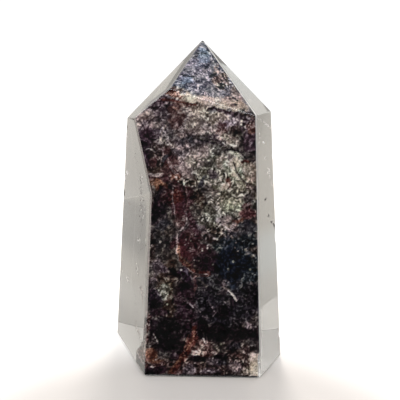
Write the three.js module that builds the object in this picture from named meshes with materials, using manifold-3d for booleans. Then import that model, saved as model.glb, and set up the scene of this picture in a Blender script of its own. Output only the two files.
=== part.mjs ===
import * as THREE from 'three';
import { mergeVertices } from 'three/addons/utils/BufferGeometryUtils.js';
import Module from 'manifold-3d';

const wasm = await Module();
wasm.setup();

// A polished point of garden quartz: one clear crystal, ground flat on every side, with a dark
// mass of mineral inclusions, the garden, lying just behind its front face. Millimetres, +Z up.
// The origin is the middle of the base, and the front face looks along -Y.

const point = (x, y, z) => new THREE.Vector3(x, y, z);

// Corners of the base, anticlockwise seen from above.
const base = {
  frontLeft: point(-12.97, -21.74, 0),
  frontRight: point(17.34, -23.03, 0),
  right: point(24.52, -8.09, 0),
  backRight: point(11.9, 20.6, 0),
  backLeft: point(-16.4, 23.03, 0),
  left: point(-24.0, 9.19, 0),
};

// Corners where the sides meet the tip, and the tip itself.
const shoulder = {
  frontLeft: point(-14.64, -19.31, 67.51),
  frontRight: point(15.45, -20.56, 68.16),
  right: point(20.41, -10.18, 68.92),
  left: point(-17.23, -12.96, 67.43),
};
const apex = point(2.33, 1.34, 88.31);

// The upper left side overhangs: it meets the lower one in a shallow crease that starts in the
// front edge and runs back to the left edge.
const crease = {
  front: point(-10.67, -20.14, 48.62),
  back: point(-21.18, 8.34, 42.59),
};

// Azimuths and leans, in degrees, of the faces that no corner above fixes. A side leans in by
// its lean; the lean of a tip face is how far its normal rises above level.
const backLean = 2.4;
const backLeftAzimuth = 137;
const backLeftLean = 3.2;
const leftRearWidth = 5.2;
const tipFrontAzimuth = -70.3;
const tipRightRearAzimuth = 14;
const tipBackAzimuth = 84;
const tipBackLean = 43.5;
const tipBackLeftAzimuth = 134;
const tipBackLeftLean = 42.5;
const tipLeftRearAzimuth = 177;

// The edge of the base is ground to a narrow bevel.
const bevelInset = 0.5;
const bevelDip = 42;

// The garden lies a skin behind the front faces and a rim inside their edges. It is an edge
// thick at its border, and deepens inward at a slope on each side down to a core depth.
const garden = {
  skin: 1.0,
  rim: 1.2,
  edge: 1.2,
  floor: 0.3,
  top: 84.2,
  depthAtBase: 13.5,
  depthAtShoulder: 7.5,
  depthAtTop: 1.4,
  leftSlope: 1.45,
  rightSlope: 1.7,
};
// Its rear is lumpy: two patterns of waves, each a product of sines, given in radians a millimetre
// across and up, with their phases, and their heights in millimetres.
const lumpPatterns = [
  { height: 1.5, waves: [[0.31, 0, 0.9], [0, 0.24, 0.4]] },
  { height: 0.9, waves: [[0.62, -0.35, 0], [0.21, 0.47, 1.1]] },
];
// Near the base it fills the left corner, swaying back along the lower left face, and leaves the
// right corner clear. Its front draws back a little over the ground bevel.
const foot = {
  leftHeight: 9,
  leftSlope: 3.4,
  leftSway: 0.3,
  clearHeight: 7.6,
  clearWidth: 2.4,
  clearBlend: 2.2,
  bevelHeight: 2.4,
};
const gardenColumns = 14;
const gardenRowStep = 2.7;
// The crystal's pocket is this much larger than the garden all round.
const pocketGap = 0.38;
const pocketDrop = 1;

// The rough block that the faces are ground on, and a point well inside the crystal.
const stockSize = 90;
const stockHeight = 110;
const insidePoint = point(0, 0, 35);
const weldDistance = 1e-4;

// A polished face is a plane: its outward normal and its distance from the origin.
function face(normal, through) {
  const outward = normal.clone().normalize();
  if (outward.dot(insidePoint) > outward.dot(through)) {
    outward.negate();
  }
  return { normal: outward, reach: outward.dot(through) };
}

function faceThrough(a, b, c) {
  return face(b.clone().sub(a).cross(c.clone().sub(a)), a);
}

function direction(azimuth, lean) {
  const around = THREE.MathUtils.degToRad(azimuth);
  const up = THREE.MathUtils.degToRad(lean);
  return point(Math.cos(around) * Math.cos(up), Math.sin(around) * Math.cos(up), Math.sin(up));
}

// A side that rises from the base edge a-b, leaning in by a number of degrees.
function sideOver(a, b, lean) {
  const along = b.clone().sub(a);
  const azimuth = THREE.MathUtils.radToDeg(Math.atan2(-along.x, along.y));
  return face(direction(azimuth, lean), a);
}

// A tip face of a given azimuth that holds both the apex and a corner of the shoulder.
function tipFaceOver(azimuth, corner) {
  const rise = apex.clone().sub(corner);
  const lean = Math.atan2(-direction(azimuth, 0).dot(rise), rise.z);
  return face(direction(azimuth, THREE.MathUtils.radToDeg(lean)), apex);
}

// The point where three faces meet.
function cornerOf(a, b, c) {
  const rows = new THREE.Matrix3().set(
    ...a.normal.toArray(), ...b.normal.toArray(), ...c.normal.toArray());
  return point(a.reach, b.reach, c.reach).applyMatrix3(rows.invert());
}

const front = faceThrough(base.frontLeft, base.frontRight, shoulder.frontRight);
const right = faceThrough(base.frontRight, base.right, shoulder.frontRight);
const rightRear = faceThrough(base.right, base.backRight, shoulder.right);
const back = sideOver(base.backRight, base.backLeft, backLean);
const leftRear = faceThrough(shoulder.left, crease.back, base.left);
const leftRearBack = base.left.clone().addScaledVector(
  point(leftRear.normal.y, -leftRear.normal.x, 0).normalize(),
  leftRearWidth,
);
const backLeft = face(direction(backLeftAzimuth, backLeftLean), leftRearBack);
const lowerLeft = faceThrough(base.frontLeft, base.left, crease.front);
const upperLeft = faceThrough(crease.front, shoulder.frontLeft, crease.back);

const tipFront = tipFaceOver(tipFrontAzimuth, shoulder.frontRight);
const tipRight = faceThrough(apex, shoulder.frontRight, shoulder.right);
const tipRightRear = tipFaceOver(tipRightRearAzimuth, shoulder.right);
const tipBack = face(direction(tipBackAzimuth, tipBackLean), apex);
const tipBackLeft = face(direction(tipBackLeftAzimuth, tipBackLeftLean), apex);
const tipLeftRear = tipFaceOver(tipLeftRearAzimuth, shoulder.left);
const tipLeft = faceThrough(apex, shoulder.frontLeft, shoulder.left);

const outerSides = [front, right, rightRear, back, backLeft, leftRear];
const tipFaces = [tipFront, tipRight, tipRightRear, tipBack, tipBackLeft, tipLeftRear, tipLeft];
const ground = { front, right, rightRear, back, backLeft, leftRear, lowerLeft, upperLeft };

// Small shell-shaped chips on the edges. Each lies between two faces, part of the way along the
// edge from one corner to another: its length, its width and how deep it bites, in millimetres.
const chips = [
  { faces: ['upperLeft', 'leftRear'], edge: [crease.back, shoulder.left], along: 0.1,
    length: 4.2, width: 3.0, bite: 0.55 },
  { faces: ['upperLeft', 'leftRear'], edge: [crease.back, shoulder.left], along: 0.9,
    length: 2.2, width: 1.8, bite: 0.4 },
  { faces: ['lowerLeft', 'leftRear'], edge: [base.left, crease.back], along: 0.42,
    length: 2.4, width: 1.6, bite: 0.3 },
  { faces: ['right', 'rightRear'], edge: [base.right, shoulder.right], along: 0.51,
    length: 4.6, width: 2.2, bite: 0.5 },
  { faces: ['right', 'rightRear'], edge: [base.right, shoulder.right], along: 0.1,
    length: 2.8, width: 2.6, bite: 0.6 },
  { faces: ['right', 'rightRear'], edge: [base.right, shoulder.right], along: 0.83,
    length: 1.8, width: 1.6, bite: 0.3 },
  { faces: ['front', 'right'], edge: [base.frontRight, shoulder.frontRight], along: 0.035,
    length: 6.5, width: 3.2, bite: 0.45 },
  { faces: ['back', 'rightRear'], edge: [base.backRight, apex], along: 0.31,
    length: 3.4, width: 2.2, bite: 0.5 },
  { faces: ['back', 'backLeft'], edge: [base.backLeft, apex], along: 0.55,
    length: 2.6, width: 2.0, bite: 0.4 },
];

function solidFrom(geometry) {
  const bare = geometry.clone();
  bare.deleteAttribute('normal');
  bare.deleteAttribute('uv');
  const welded = mergeVertices(bare, weldDistance);
  return new wasm.Manifold(new wasm.Mesh({
    numProp: 3,
    vertProperties: welded.attributes.position.array,
    triVerts: new Uint32Array(welded.index.array),
  }));
}

function geometryFrom(solid) {
  const mesh = solid.getMesh();
  const geometry = new THREE.BufferGeometry();
  geometry.setAttribute('position', new THREE.BufferAttribute(mesh.vertProperties, 3));
  geometry.setIndex(new THREE.BufferAttribute(mesh.triVerts, 1));
  geometry.computeVertexNormals();
  return geometry;
}

// What is left of a solid inside a face, and outside it.
function groundTo(solid, plane) {
  const inward = plane.normal.clone().negate();
  return solid.trimByPlane(inward.toArray(), -plane.reach);
}

function beyond(solid, plane) {
  return solid.trimByPlane(plane.normal.toArray(), plane.reach);
}

// The bevel under a side: the same azimuth, looking down, set in a little at the base.
function bevelUnder(side) {
  const level = point(side.normal.x, side.normal.y, 0);
  const reachAtBase = side.reach / level.length() - bevelInset;
  level.normalize();
  const azimuth = THREE.MathUtils.radToDeg(Math.atan2(level.y, level.x));
  return face(direction(azimuth, -bevelDip), level.multiplyScalar(reachAtBase));
}

function chipSolid({ faces, edge, along, length, width, bite }) {
  const [one, other] = faces.map((name) => ground[name]);
  const edgeLine = one.normal.clone().cross(other.normal).normalize();
  const outward = one.normal.clone().add(other.normal).normalize();
  const height = THREE.MathUtils.lerp(edge[0].z, edge[1].z, along);
  const level = { normal: point(0, 0, 1), reach: height };
  const centre = cornerOf(one, other, level).addScaledVector(outward, width / 2 - bite);
  const pit = new THREE.IcosahedronGeometry(width / 2, 1);
  pit.scale(1, 1, length / width);
  pit.applyQuaternion(new THREE.Quaternion().setFromUnitVectors(point(0, 0, 1), edgeLine));
  pit.translate(centre.x, centre.y, centre.z);
  return solidFrom(pit);
}

function crystalSolid() {
  const stock = new THREE.BoxGeometry(stockSize, stockSize, stockHeight);
  stock.translate(0, 0, stockHeight / 2);
  let crystal = solidFrom(stock);
  for (const plane of [...outerSides, ...tipFaces]) {
    crystal = groundTo(crystal, plane);
  }
  // The two left faces meet in a crease, so they take away only what lies outside both.
  crystal = crystal.subtract(beyond(beyond(crystal, lowerLeft), upperLeft));
  for (const side of [...outerSides, lowerLeft]) {
    crystal = groundTo(crystal, bevelUnder(side));
  }
  for (const chip of chips) {
    crystal = crystal.subtract(chipSolid(chip));
  }
  return crystal;
}

const frontPeak = cornerOf(front, tipFront, tipLeft);
const leftEdge = [base.frontLeft, crease.front, shoulder.frontLeft, frontPeak, apex];
const rightEdge = [base.frontRight, shoulder.frontRight, apex];

// x on an edge that runs through some corners, at a height.
function edgeAt(corners, height) {
  const above = Math.max(1, corners.findIndex((corner) => corner.z >= height));
  const [low, high] = [corners[above - 1], corners[above]];
  return THREE.MathUtils.mapLinear(height, low.z, high.z, low.x, high.x);
}

function depthOf(plane, x, z) {
  return (plane.reach - plane.normal.x * x - plane.normal.z * z) / plane.normal.y;
}

// The crystal's front surface, straight ahead of a point at x and z.
function frontAt(x, z) {
  return Math.max(depthOf(front, x, z), depthOf(tipFront, x, z));
}

function lumps(x, z) {
  return lumpPatterns.reduce((sum, { height, waves }) => {
    const product = waves.reduce(
      (value, [across, up, phase]) => value * Math.sin(across * x + up * z + phase), 1);
    return sum + height * product;
  }, 0);
}

function leftFoot(z) {
  return THREE.MathUtils.clamp(1 - z / foot.leftHeight, 0, 1);
}

function gardenLeft(z) {
  return edgeAt(leftEdge, z) + garden.rim;
}

function gardenRight(z) {
  const clear = THREE.MathUtils.clamp((foot.clearHeight - z) / foot.clearBlend, 0, 1);
  return edgeAt(rightEdge, z) - garden.rim - foot.clearWidth * clear;
}

// How far the garden reaches behind its own front: thin at its edges and thick in the middle.
function depthBehind(x, z) {
  const shoulderHeight = shoulder.frontLeft.z;
  const core = z < shoulderHeight
    ? THREE.MathUtils.mapLinear(z, 0, shoulderHeight, garden.depthAtBase, garden.depthAtShoulder)
    : THREE.MathUtils.mapLinear(z, shoulderHeight, garden.top, garden.depthAtShoulder,
      garden.depthAtTop);
  const leftSlope = THREE.MathUtils.lerp(garden.leftSlope, foot.leftSlope, leftFoot(z));
  const inLeft = Math.max(0, x - gardenLeft(z));
  const inRight = Math.max(0, gardenRight(z) - x);
  const reach = Math.min(core, leftSlope * inLeft, garden.rightSlope * inRight);
  return garden.edge + reach + lumps(x, z) * Math.min(1, reach / garden.depthAtShoulder);
}

// The heights of the garden's rows, with one at each bend of its outline.
function rowHeights() {
  const bends = [garden.floor, foot.bevelHeight, foot.clearHeight - foot.clearBlend,
    foot.clearHeight, crease.front.z, shoulder.frontLeft.z, frontPeak.z, garden.top];
  const heights = [bends[0]];
  for (let i = 1; i < bends.length; i += 1) {
    const rows = Math.ceil((bends[i] - bends[i - 1]) / gardenRowStep);
    for (let row = 1; row <= rows; row += 1) {
      heights.push(THREE.MathUtils.lerp(bends[i - 1], bends[i], row / rows));
    }
  }
  return heights;
}

// One level ring of the garden, along its front from left to right and back along its rear,
// grown on every side by a margin. The outline is the garden's own at one height, and the ring
// lies at a level of its own.
function gardenRing({ outline, level }, margin) {
  const left = gardenLeft(outline);
  const rightmost = gardenRight(outline);
  const bevelled = garden.skin * Math.max(0, 1 - outline / foot.bevelHeight);
  const ahead = [];
  const behind = [];
  for (let column = 0; column <= gardenColumns; column += 1) {
    const across = column / gardenColumns;
    const x = THREE.MathUtils.lerp(left, rightmost, across);
    const outward = column === 0 ? -margin : (column === gardenColumns ? margin : 0);
    const skin = frontAt(x + outward, outline) + garden.skin;
    const depth = Math.max(...[-margin, 0, margin].map((aside) => depthBehind(x + aside, outline)));
    const swaying = foot.leftSway * leftFoot(outline) * (1 - across);
    const sway = swaying * (depthBehind(x, outline) + 2 * margin);
    ahead.push(point(x + outward, skin + bevelled - margin, level));
    behind.push(point(x + 2 * outward - sway, skin + depth + margin, level));
  }
  return [...ahead, ...behind.reverse()];
}

function gardenSolid(rows, margin) {
  const positions = [];
  for (const row of rows) {
    gardenRing(row, margin).forEach((p) => positions.push(p.x, p.y, p.z));
  }
  const around = 2 * (gardenColumns + 1);
  const last = (rows.length - 1) * around;
  const triangles = [];
  const quad = (a, b, c, d) => triangles.push(a, b, c, a, c, d);
  for (let ring = 0; ring < last; ring += around) {
    for (let i = 0; i < around; i += 1) {
      const next = (i + 1) % around;
      quad(ring + i, ring + next, ring + around + next, ring + around + i);
    }
  }
  for (let i = 0; i < gardenColumns; i += 1) {
    const opposite = around - 1 - i;
    quad(i, opposite, opposite - 1, i + 1);
    quad(last + i, last + i + 1, last + opposite - 1, last + opposite);
  }
  const geometry = new THREE.BufferGeometry();
  geometry.setAttribute('position', new THREE.Float32BufferAttribute(positions, 3));
  geometry.setIndex(triangles);
  return solidFrom(geometry);
}

const gardenRows = rowHeights().map((height) => ({ outline: height, level: height }));
// The pocket runs out through the base, and closes a gap's width above the garden.
const pocketRows = [{ outline: garden.floor, level: -pocketDrop }, ...gardenRows];
pocketRows.push({ outline: garden.top, level: garden.top + pocketGap });

const gardenBody = gardenSolid(gardenRows, 0);
const pocket = gardenSolid(pocketRows, pocketGap);
const quartzBody = crystalSolid().subtract(pocket);

const clearQuartz = new THREE.MeshStandardMaterial({
  color: 0xe2e5e2,
  roughness: 0.06,
  metalness: 0,
  flatShading: true,
  transparent: true,
  opacity: 0.35,
});
const gardenMinerals = new THREE.MeshStandardMaterial({
  color: 0x4a3a38,
  roughness: 0.75,
  metalness: 0,
});

const quartz = new THREE.Mesh(geometryFrom(quartzBody), clearQuartz);
quartz.name = 'quartz';
const inclusions = new THREE.Mesh(geometryFrom(gardenBody), gardenMinerals);
inclusions.name = 'garden';

const group = new THREE.Group();
group.add(quartz, inclusions);

export default group;
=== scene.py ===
"""A polished point of garden quartz on a pale floor, in soft studio light.

Blender's objects are in metres, in the frame of the CAD model: +Z up, the origin in the middle of
the base, the broad front face towards -Y. Lengths in this script are in millimetres, and the
meshes are scaled by MM as they are made.
"""

import itertools
import math

import bmesh
import bpy
import numpy as np
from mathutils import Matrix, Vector
from mathutils.bvhtree import BVHTree

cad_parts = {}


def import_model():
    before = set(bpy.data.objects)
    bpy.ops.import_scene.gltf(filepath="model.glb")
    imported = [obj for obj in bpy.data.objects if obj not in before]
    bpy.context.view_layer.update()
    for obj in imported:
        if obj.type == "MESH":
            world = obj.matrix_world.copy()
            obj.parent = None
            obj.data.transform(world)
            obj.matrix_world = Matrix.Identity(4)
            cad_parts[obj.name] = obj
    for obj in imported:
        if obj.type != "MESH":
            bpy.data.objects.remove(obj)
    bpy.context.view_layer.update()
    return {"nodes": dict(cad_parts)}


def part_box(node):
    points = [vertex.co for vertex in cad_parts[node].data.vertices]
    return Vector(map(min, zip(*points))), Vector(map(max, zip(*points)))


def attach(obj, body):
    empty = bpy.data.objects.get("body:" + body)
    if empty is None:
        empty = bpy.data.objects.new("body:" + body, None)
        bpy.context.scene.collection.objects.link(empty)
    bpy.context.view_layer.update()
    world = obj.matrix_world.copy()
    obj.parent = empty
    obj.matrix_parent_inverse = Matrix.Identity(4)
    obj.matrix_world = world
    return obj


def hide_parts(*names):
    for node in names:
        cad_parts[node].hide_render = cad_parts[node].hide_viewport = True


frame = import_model()

MM = 0.001
WHITE = (1, 1, 1, 1)

# The camera's place, its downward pitch in degrees, its lens and sensor, and how near it sees.
CAMERA_AT = (1.65, -182.5, 72.706)
CAMERA_PITCH = 9.049
CAMERA_LENS = 58.2057
CAMERA_SENSOR = 36.0
CAMERA_NEAR = 10.0

FLOOR_SIZE = 6000.0
FLOOR_DROP = 0.05
FLOOR_ROUGHNESS = 0.3
# To the camera the floor is pale, with a painted glow beyond a place before the crystal, which
# leaves a painted shadow in front of it. The glass shows the floor darker, as painted shade.
FLOOR_PAINTED_SHADOW_AT = (0, -60)
FLOOR_PAINTED_SHADOW_FADE = (42.0, 76.0)
FLOOR_PAINTED_GLOW = 0.6
FLOOR_PALE = (0.46, 0.417, 0.383, 1)
FLOOR_SHADE = (0.275, 0.255, 0.228, 1)
# Patches of painted shade and painted light on the floor that only the glass shows, one behind on
# each side and two by the base: where each lies, the distances at which it is gone and full, and its
# colour. The one behind on the right is painted shade, and the others are painted light.
FLOOR_PAINTED_PATCHES = (
    ((90, 96), (70.0, 30.0), (0.14, 0.133, 0.123, 1)),
    ((-62, 66), (50.0, 15.0), (0.31, 0.312, 0.3, 1)),
    ((-10, 32), (46.0, 14.0), (0.315, 0.3, 0.278, 1)),
    ((13, 26), (30.0, 6.0), (0.34, 0.32, 0.295, 1)),
)

# The studio: how bright it is overhead and round the sides, its lights (a softbox before the front
# face and windows behind) and its dark flags. A place in it is an azimuth and an elevation, and the
# angles within which it is full and beyond which it is gone. A light adds this much there, and a flag
# takes away this share. Reflections don't show the floor, so they show what is below the horizon.
ZENITH = 1.5
WALLS = 0.75
ABOVE = (0, 90, 0, 70)
ZENITH_TINT = (0.84, 0.92, 1.0, 1)
# What the camera sees of the studio directly is plain white.
BACKDROP = 1.1
# The wall behind is a little warm.
BACK_WALL = (90, 0, 50, 95)
BACK_TINT = (1.0, 0.96, 0.9, 1)
LIGHTS = (
    ((-90, 32, 10, 48), 4.2),
    ((119, 22, 6, 18), 0.3),
    ((125, -18, 2, 6), 0.15),
    ((53, 30, 5, 14), 1.0),
)
FLAGS = (
    ((-90, -10, 20, 30), 0.98),
    ((54, 65, 10, 32), 0.75),
    ((90, 14, 10, 40), 0.12),
    ((146, 22, 8, 22), 0.62),
    ((126, -10, 6, 14), 0.35),
    ((45, -3, 2, 9), 0.18),
)
# A small lamp behind the crystal throws its shadow forward: its azimuth and elevation, distance,
# width and power.
LAMP = (88, 36)
LAMP_DISTANCE = 720.0
LAMP_WIDTH = 200.0
LAMP_POWER = 6.0

# Clear quartz: how it bends light, and the colour and the density of its absorption.
QUARTZ_IOR = 1.544
ABSORPTION = (0.49, 0.46, 0.415, 1)
ABSORPTION_DENSITY = 17.0
# Faces of the crystal that are at least this large, in square millimetres, count as ground faces, but
# for the small bevels under its rear sides, which are no more here than worn edges. Those look down
# within this range and no further forward than that.
LEAST_BEVEL = 2.0
LEAST_FACE = 100.0
BEVEL_DOWN = (-0.9, -0.3)
BEVEL_FORWARD = -0.2
# The block that the crystal is cut from, how near its corners are joined, how worn its edges are, and
# the least angle of those.
STOCK = 120.0
WELD = 0.05
EDGE_WEAR = 0.17
EDGE_ANGLE = 8.0
# The base is left ground, up to this height on its worn edge; the other faces are polished, with
# faint broad waves.
BASE_EDGE = 0.2
BASE_ROUGHNESS = 0.2
POLISH_WAVES = 9.0
POLISH_DEPTH = 0.03

# Where the sides face: the azimuth and elevation of each one's normal.
SIDES = {
    "front": (-92, 2),
    "right": (-26, 2),
    "right_rear": (24, 4),
    "back": (85, 2),
    "back_left": (137, 3),
    "left_rear": (186, 4),
    "lower_left": (200, 3),
    "upper_left": (202, -10),
}
# Shell-shaped chips on the edges: the two sides that meet there, the height, and the chip's length,
# width and bite.
CHIPS = (
    ("upper_left", "left_rear", 45.1, 4.2, 3.0, 0.55),
    ("upper_left", "left_rear", 64.9, 2.2, 1.8, 0.4),
    ("lower_left", "left_rear", 18.0, 2.4, 1.6, 0.3),
    ("right", "right_rear", 35.1, 4.6, 2.2, 0.5),
    ("right", "right_rear", 6.9, 2.8, 2.6, 0.6),
    ("right", "right_rear", 57.2, 1.8, 1.6, 0.3),
    ("front", "right", 2.4, 6.5, 3.2, 0.45),
    ("back", "right_rear", 27.4, 3.4, 2.2, 0.5),
    ("back", "back_left", 48.6, 2.6, 2.0, 0.4),
)
CHIP_RIPPLE = 0.06

# The garden: how far it lies behind the front faces and inside their edges, the heights that it
# spans, and its mesh. Its rear's colours are the mean of this many rows to either side.
SKIN = 0.3
LEFT_RIM = 0.14
RIGHT_RIM = 0.06
GARDEN_LOW = 0.3
GARDEN_HIGH = 87.2
FRONT_COLUMNS = 168
FLANK_COLUMNS = 16
REAR_COLUMNS = 26
ROWS = 468
REAR_BLUR = 3
# The relief of its front: this share of each mineral's own depth, and how deep the pits and the dark
# grain are. The flank of its foot has the first and the last of these, and its rear has lumps.
FRONT_RELIEF = (0.4, 0.5, 0.15)
FLANK_RELIEF = (0.25, 0.2)
REAR_LUMPS = 0.8
# How deep its edges are, how much deeper it is at least behind its front, how steeply its rear slopes
# forward from the left, and how far back the rays start that find the rear of the CAD's garden.
EDGE_DEPTH = 0.8
LEAST_DEPTH = 1.0
REAR_SLOPE = 0.8
RAYS_FROM = 40.0
# Its left and right edges are looked for between these x, in this many steps.
EDGE_SEARCH = (-30, 30, 3001)
# At its foot it fills the left corner, and follows the lower left face back, with this much to the
# left for each mm of depth. Each step is a depth, and the heights where it starts to fade and is gone.
FOOT_SWAY = 0.356
FOOT_STEPS = ((6.3, 2.6, 8.8), (2.0, 14.0, 17.5))
# Its lower right corner is cut back this far, up to the heights where that starts to fade and is gone.
CORNER_CUT = 0.5
CORNER_FADE = (5.5, 7.5)
# How bright a white garden looks through the front face and through the tip's, and the veil of
# light over it.
DAYLIGHT = (0.67, 0.68, 0.69)
HAZE = 0.005
TIP_DAYLIGHT = (0.78, 0.81, 0.84)
TIP_HAZE = 0.029
# The most light that it sends back, and how much its colours drift.
BRIGHTEST = 0.97
TINT = 0.08
# Its grain: the strength, size and seed of each layer of noise, the mean and spread of how pale it
# is and the limits of that, and how much paler its threads and sparks are.
GRAIN_LAYERS = ((1.4, 0.38, 75), (0.6, 0.8, 76), (0.4, 2.0, 77))
WORMS = 0.6
PALE_MEAN = 0.465
PALE_SPREAD = 0.4
PALE_LIMITS = (-0.25, 1.35)
THREADS = 0.25
SPARKS = 0.35
# The stone's finest grain: its size, depth, detail and roughness, the middle part of its noise's
# range, and how much it lightens and darkens the stone, where the colour has room for that.
GRAIN_SIZE = 0.36
GRAIN_DEPTH = 0.08
GRAIN_DETAIL = (4.0, 0.65)
GRAIN_RANGE = (0.35, 0.65)
MOTTLING = 0.7
STONE_ROUGHNESS = (0.5, 0.9)
STONE_SPECULAR = 0.1
# The painted highlight at its thin left and right edges, below the tip and from this height up
# beside it, in sRGB from 0 to 255.
LEFT_RIM_HIGHLIGHTS = ((205, 192, 186), (132, 124, 124))
RIGHT_RIM_HIGHLIGHTS = ((244, 239, 235), (236, 232, 228))
TIP_HIGHLIGHT_AT = (68.5, 70.5)
# Behind its right edge the painted highlight runs onto its rear up to the first of these distances,
# and is gone at the second.
RIM_HIGHLIGHT_REACH = (1.0, 3.0)

# What the garden is made of: the colours of its darkest and of its lightest grains, in sRGB from 0
# to 255, and how far it lies behind the rest in mm.
MINERALS = {
    "pitch": ((4, 1, 3), (32, 24, 28), 1.2),
    "ink": ((19, 9, 15), (86, 70, 78), 1.0),
    "navy": ((8, 5, 9), (48, 38, 44), 1.3),
    "midnight": ((5, 9, 15), (62, 64, 69), 1.4),
    "charcoal": ((9, 6, 10), (60, 56, 60), 0.9),
    "abyss": ((2, 4, 10), (28, 32, 42), 1.4),
    "teal": ((11, 14, 19), (98, 99, 99), 0.9),
    "bluestone": ((26, 24, 29), (78, 76, 80), 0.8),
    "plum": ((16, 6, 11), (58, 44, 50), 0.8),
    "maroon": ((28, 10, 14), (88, 66, 69), 0.6),
    "garnet": ((42, 18, 21), (70, 40, 44), 0.5),
    "russet": ((34, 9, 7), (94, 60, 55), 0.3),
    "rust": ((50, 28, 24), (152, 122, 112), 0.3),
    "ember": ((70, 42, 34), (222, 194, 184), 0.1),
    "terracotta": ((52, 30, 23), (130, 96, 80), 0.3),
    "liver": ((46, 28, 29), (118, 98, 97), 0.5),
    "umber": ((22, 13, 13), (112, 98, 95), 0.6),
    "bronze": ((24, 14, 12), (90, 79, 72), 0.5),
    "olive": ((28, 18, 13), (138, 129, 116), 0.2),
    "slate": ((44, 37, 40), (125, 113, 115), 0.5),
    "stone": ((32, 27, 27), (98, 90, 86), 0.5),
    "shale": ((22, 18, 20), (82, 76, 76), 0.8),
    "chlorite": ((38, 32, 32), (98, 91, 88), 0.8),
    "lilac": ((50, 40, 46), (153, 141, 146), 0.4),
    "mauve": ((78, 66, 67), (187, 173, 171), 0.2),
    "clay": ((96, 84, 82), (188, 174, 169), 0.1),
    "sage": ((50, 46, 41), (170, 166, 155), 0.3),
    "mint": ((90, 88, 76), (208, 203, 191), 0.1),
    "rosy": ((36, 20, 20), (160, 138, 132), 0.2),
    "flesh": ((92, 79, 71), (188, 173, 165), 0.1),
    "fawn": ((70, 58, 54), (204, 191, 184), 0.1),
    "cream": ((60, 51, 45), (210, 199, 189), 0.0),
    "straw": ((152, 138, 129), (206, 193, 184), 0.0),
    "bone": ((150, 136, 123), (212, 199, 189), 0.0),
    "snow": ((170, 160, 156), (250, 246, 243), 0.0),
    # The blue of frost, denim and steel, on the tip, is partly painted reflection of a bluish sky.
    "frost": ((72, 71, 80), (184, 181, 188), 0.1),
    "ash": ((98, 98, 104), (192, 188, 192), 0.1),
    "denim": ((50, 50, 62), (178, 177, 188), 0.3),
    "steel": ((92, 101, 117), (170, 179, 196), 0.1),
    "pepper": ((18, 11, 9), (190, 184, 176), 0.2),
    "crimson": ((40, 20, 22), (120, 88, 88), 0.4),
    "violet": ((16, 7, 14), (76, 64, 76), 0.6),
}
GROUND = "stone"
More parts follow.
